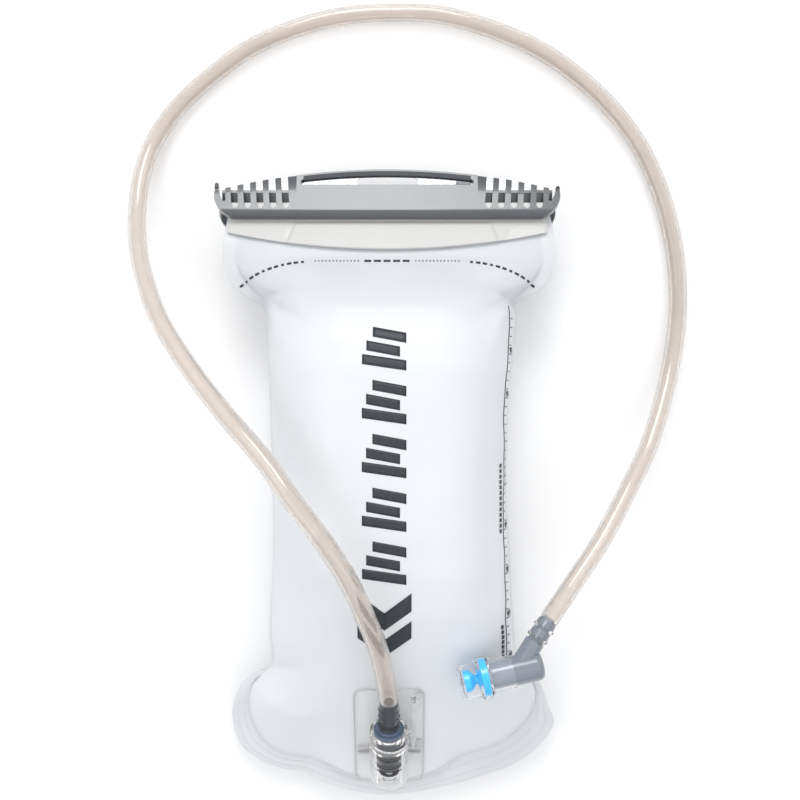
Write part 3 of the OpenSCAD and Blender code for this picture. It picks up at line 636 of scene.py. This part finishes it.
def make_lip_cover():
    """The film welded over the lip strips, pressed to the shape of the pocket under it."""
    turn = Vector((0, math.cos(CLOSURE_TILT), -math.sin(CLOSURE_TILT)))
    normal = Vector((0, math.sin(CLOSURE_TILT), math.cos(CLOSURE_TILT)))
    points = []
    for x in np.linspace(-LIP_HALF, LIP_HALF, COVER_COLUMNS):
        low = -LIP_DROP + LIP_CURVE - math.sqrt(LIP_CURVE ** 2 - x ** 2)
        for v in np.linspace(low, LIP_TOP, COVER_ROWS):
            wave = COVER_WAVE * math.sin(x / 9) * math.sin(v / 5)
            lift = COVER_LOW + pocket_rise(x, v) + wave
            points.append(CLOSURE_AT + Vector((x * MM, 0, 0)) + turn * (v * MM)
                          + normal * (lift * MM))
    cover = add_mesh("lip_cover", points, grid_faces(COVER_COLUMNS, COVER_ROWS), cover_material)
    thick = cover.modifiers.new("thickness", "SOLIDIFY")
    thick.thickness = COVER_THICKNESS * MM
    thick.offset = 1
    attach(cover, "root")


make_lip_cover()

# Port edges, grey with painted shade -------------------------------------------------------
SOCKET_AT = Vector((1.0, -119.0, 48.0)) * MM
PLATE_HALF = 17.5 * MM
PLATE_ENDS = (-44.8 * MM, 17.9 * MM)
PLATE_TOP = -9.2 * MM
PLATE_CORNER = 4.5 * MM
BEAD_RADIUS = 0.28 * MM
BEAD_SIDES = 8
CORNER_POINTS = 9
RIB_FROM = 9.8 * MM
RIB_ABOVE = 0.05 * MM


def at_port(x, y, z):
    """A place given in the port's own frame, along its slope and off its plate."""
    cosine, sine = math.cos(PORT_SLOPE), math.sin(PORT_SLOPE)
    return SOCKET_AT + Vector((x, y * cosine - z * sine, y * sine + z * cosine))


def paint_shade_on_port_ribs():
    """Paints shade on the ribs and stops of the clear port's plate: their faces take an opaque
    grey.
    """
    port = nodes["port_base"]
    port.data.materials.append(port_edge_painted_shade_material)
    up = at_port(0, 0, 1) - SOCKET_AT
    for face in port.data.polygons:
        offset = port.matrix_world @ face.center - SOCKET_AT
        if abs(offset.x) > RIB_FROM and offset.dot(up) > PLATE_TOP + RIB_ABOVE:
            face.material_index = 1


def make_plate_shade_bead():
    """A rounded grey bead along the top edge of the clear port's plate, painted shade that
    outlines the edge.
    """
    outline = []
    for side, end, first in ((1, 0, -90), (1, 1, 0), (-1, 1, 90), (-1, 0, 180)):
        centre_x = side * (PLATE_HALF - PLATE_CORNER)
        centre_y = PLATE_ENDS[end] + (PLATE_CORNER if end == 0 else -PLATE_CORNER)
        for angle in np.radians(np.linspace(first, first + 90, CORNER_POINTS)):
            outline.append((centre_x, centre_y, math.cos(angle), math.sin(angle)))
    points, faces = [], []
    for i, (x, y, out_x, out_y) in enumerate(outline):
        for j in range(BEAD_SIDES):
            turn = 2 * math.pi * j / BEAD_SIDES
            reach = PLATE_CORNER + BEAD_RADIUS * math.cos(turn)
            points.append(at_port(x + reach * out_x, y + reach * out_y,
                                  PLATE_TOP + BEAD_RADIUS * math.sin(turn)))
            row, ahead = i * BEAD_SIDES, (i + 1) % len(outline) * BEAD_SIDES
            k = (j + 1) % BEAD_SIDES
            faces.append((row + j, ahead + j, ahead + k, row + k))
    bead = add_mesh("port_plate_shade_bead", points, faces, port_edge_painted_shade_material)
    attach(bead, "root")


paint_shade_on_port_ribs()
make_plate_shade_bead()

# Prints ------------------------------------------------------------------------------------
PRINT_LIFT = 0.42 * MM
PRINT_THICKNESS = 0.06 * MM
PRINT_CELL = 1.6 * MM
ABOVE_ALL = 0.2
FILL_LINE_Y = 114.4
HINT_RADIUS = 62.0
HINT_CENTRE = (38.0, 52.0)
SCALE_X = 58.0
SCALE_TICK = 4.4
GRAPHIC_TOP, GRAPHIC_PITCH, STRIPE_PITCH = 79.0, 25.4, 6.6
STRIPES = ((-6.5, 9.5), (-9.5, 6.5), (-11.5, 9.5))
CHEVRON_X, CHEVRON_REACH = -1.0, 13
film_tree = BVHTree.FromPolygons([v.co.copy() for v in front_film.data.vertices],
                                 [tuple(p.vertices) for p in front_film.data.polygons])


def on_film(x, y):
    """The point just above the front film at x, y."""
    hit, normal, _, _ = film_tree.ray_cast(Vector((x, y, ABOVE_ALL)), Vector((0, 0, -1)))
    if hit is None:
        return None
    if normal.z < 0:
        normal = -normal
    return hit + normal * PRINT_LIFT


def make_print(name, quads):
    """Ink on the film. Each quad is four corners x, y in millimetres, and follows the film."""
    points, faces = [], []
    for quad in quads:
        a, b, c, d = (np.array(corner, float) * MM for corner in quad)
        across = max(1, math.ceil(max(np.linalg.norm(b - a), np.linalg.norm(c - d)) / PRINT_CELL))
        down = max(1, math.ceil(max(np.linalg.norm(d - a), np.linalg.norm(c - b)) / PRINT_CELL))
        cells = []
        for j in range(down + 1):
            for i in range(across + 1):
                s, t = i / across, j / down
                plan = (a * (1 - s) + b * s) * (1 - t) + (d * (1 - s) + c * s) * t
                cells.append(on_film(*plan))
        if any(p is None for p in cells):
            continue
        faces += grid_faces(down + 1, across + 1, start=len(points))
        points += cells
    piece = add_mesh(name, points, faces, ink_material)
    thick = piece.modifiers.new("thickness", "SOLIDIFY")
    thick.thickness = PRINT_THICKNESS
    thick.offset = 1
    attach(piece, "root")


def bar(x, y, length, width, angle=0.0):
    """A bar's four corners, centred on x, y, its length at an angle in degrees from X."""
    a = math.radians(angle)
    along = np.array((math.cos(a), math.sin(a))) * length / 2
    across = np.array((-math.sin(a), math.cos(a))) * width / 2
    centre = np.array((x, y))
    return (centre - along - across, centre + along - across, centre + along + across,
            centre - along + across)


def graphic_quads():
    """A plain graphic down the bag: slanted stripes in five groups, two chevrons below them."""
    quads = []
    for group in range(5):
        for step, (left, right) in enumerate(STRIPES):
            y = GRAPHIC_TOP - group * GRAPHIC_PITCH - step * STRIPE_PITCH
            quads.append(((left, y - 4.0), (right, y - 7.0), (right, y - 2.2), (left, y + 0.8)))
    for side in (-1, 1):
        x, tip = CHEVRON_X, CHEVRON_X + side * CHEVRON_REACH
        for y in (-66, -80):
            quads.append(((x, y), (tip, y + 10), (tip, y + 19), (x, y + 9)))
    return quads


def fill_line_quads():
    """A dotted line across the bag's top with a plain marker in its middle."""
    y = FILL_LINE_Y
    dots = [bar(x, y, 0.6, 0.6) for x in np.arange(-36, 36.1, 1.8) if abs(x) > 13]
    middle = [bar(x, y, 3.4, 1.1) for x in np.arange(-9.6, 9.7, 4.8)]
    return dots + middle


def shoulder_quads(side):
    """A curved row of short dashes that ends in a small square stood on its corner."""
    def on_arc(degrees):
        a = math.radians(90 - side * degrees)
        return (side * HINT_CENTRE[0] + HINT_RADIUS * math.cos(a),
                HINT_CENTRE[1] + HINT_RADIUS * math.sin(a))

    quads = [bar(*on_arc(degrees), 2.2 if i % 3 else 1.4, 1.1, -side * degrees)
             for i, degrees in enumerate(np.arange(4, 46, 3.1))]
    return quads + [bar(*on_arc(48.5), 2.8, 2.8, 45)]


def scale_quads():
    """A measuring scale up the right side: a wavy line, ticks and blocks at each measure."""
    quads = []

    def line_x(y):
        widening = 0.06 * max(0, y - 40) + 0.05 * max(0, -y - 40)
        return SCALE_X + 0.35 * math.sin(y / 9) + 0.15 * math.sin(y / 3.1) + widening

    for y in np.arange(-88, 92, 1.0):
        x0, x1 = line_x(y), line_x(y + 1)
        quads.append(((x0 - 0.2, y), (x0 + 0.2, y), (x1 + 0.2, y + 1), (x1 - 0.2, y + 1)))
    for i, y in enumerate(np.arange(-86, 90, SCALE_TICK)):
        length = 2.4 if i % 5 == 0 else 1.2
        quads.append(bar(line_x(y) + 0.6 + length / 2, y, length, 0.45))
        if i % 5 == 0:
            quads.append(bar(line_x(y) + 2.1, y + 2.1, 2.0, 2.6, 12))
    # Plain blocks stand where captions would be
    quads += [bar(56.0, y, 1.3, 1.9) for y in np.arange(-20, 13, 2.7)]
    quads += [bar(line_x(y) - 2.0, y, 1.4, 2.0) for y in np.arange(-86, -66, 2.6)]
    return quads


make_print("print_graphic", graphic_quads())
make_print("print_fill_line", fill_line_quads())
make_print("print_fold_hint", shoulder_quads(-1))
make_print("print_slide_hint", shoulder_quads(1))
make_print("print_scale", scale_quads())

# Room --------------------------------------------------------------------------------------
FLOOR_GREY = 0.93
FLOOR_HALF = 8
FLOOR_CORNERS = ((-1, -1), (1, -1), (1, 1), (-1, 1))
TENT_POLE = (0.0, 0.32, 0.947)
TENT_STRENGTH = 1.16


def make_floor():
    """A plain pale floor at z = 0."""
    material = plastic("floor_paper", (FLOOR_GREY,) * 3, 0.75, mottle=0.004, mottle_scale=6)
    corners = [(x * FLOOR_HALF, y * FLOOR_HALF, 0) for x, y in FLOOR_CORNERS]
    floor = add_mesh("floor", corners, [(0, 1, 2, 3)], material, smooth=False)


def area_light(name, place, target, size, power):
    """A round soft light that faces its target."""
    data = bpy.data.lights.new(name, "AREA")
    data.shape = "DISK"
    data.size = size
    data.energy = power
    light = bpy.data.objects.new(name, data)
    light.location = place
    light.rotation_euler = (Vector(target) - Vector(place)).to_track_quat("-Z", "Y").to_euler()
    scene.collection.objects.link(light)


def make_sky():
    """A white tent that is brightest above the closure's side and darkens towards the horizon."""
    world = bpy.data.worlds.new("studio")
    scene.world = world
    world.use_nodes = True
    tree = world.node_tree
    background = tree.nodes["Background"]
    background.inputs["Strength"].default_value = TENT_STRENGTH
    coordinates = tree.nodes.new("ShaderNodeTexCoord")
    facing = tree.nodes.new("ShaderNodeVectorMath")
    facing.operation = "DOT_PRODUCT"
    facing.inputs[1].default_value = TENT_POLE
    ramp = tree.nodes.new("ShaderNodeValToRGB")
    ramp.color_ramp.elements[0].position = 0.30
    ramp.color_ramp.elements[0].color = (0.48, 0.49, 0.51, 1)
    ramp.color_ramp.elements[1].position = 0.86
    ramp.color_ramp.elements[1].color = (1.0, 1.0, 1.0, 1)
    tree.links.new(coordinates.outputs["Generated"], facing.inputs[0])
    tree.links.new(facing.outputs["Value"], ramp.inputs["Fac"])
    tree.links.new(ramp.outputs["Color"], background.inputs["Color"])


make_floor()
make_sky()
area_light("closure_softbox", (-0.05, 1.12, 1.02), (0, 0.14, 0.04), 0.6, 5.5)
area_light("left_fill", (-0.8, -0.1, 1.2), (0, 0.02, 0), 0.9, 2)
area_light("right_fill", (0.8, -0.3, 1.2), (0, 0.02, 0), 0.9, 1)
area_light("foot_fill", (0.0, -1.0, 0.8), (0, -0.12, 0.03), 0.9, 1)
scene.view_settings.view_transform = "Standard"
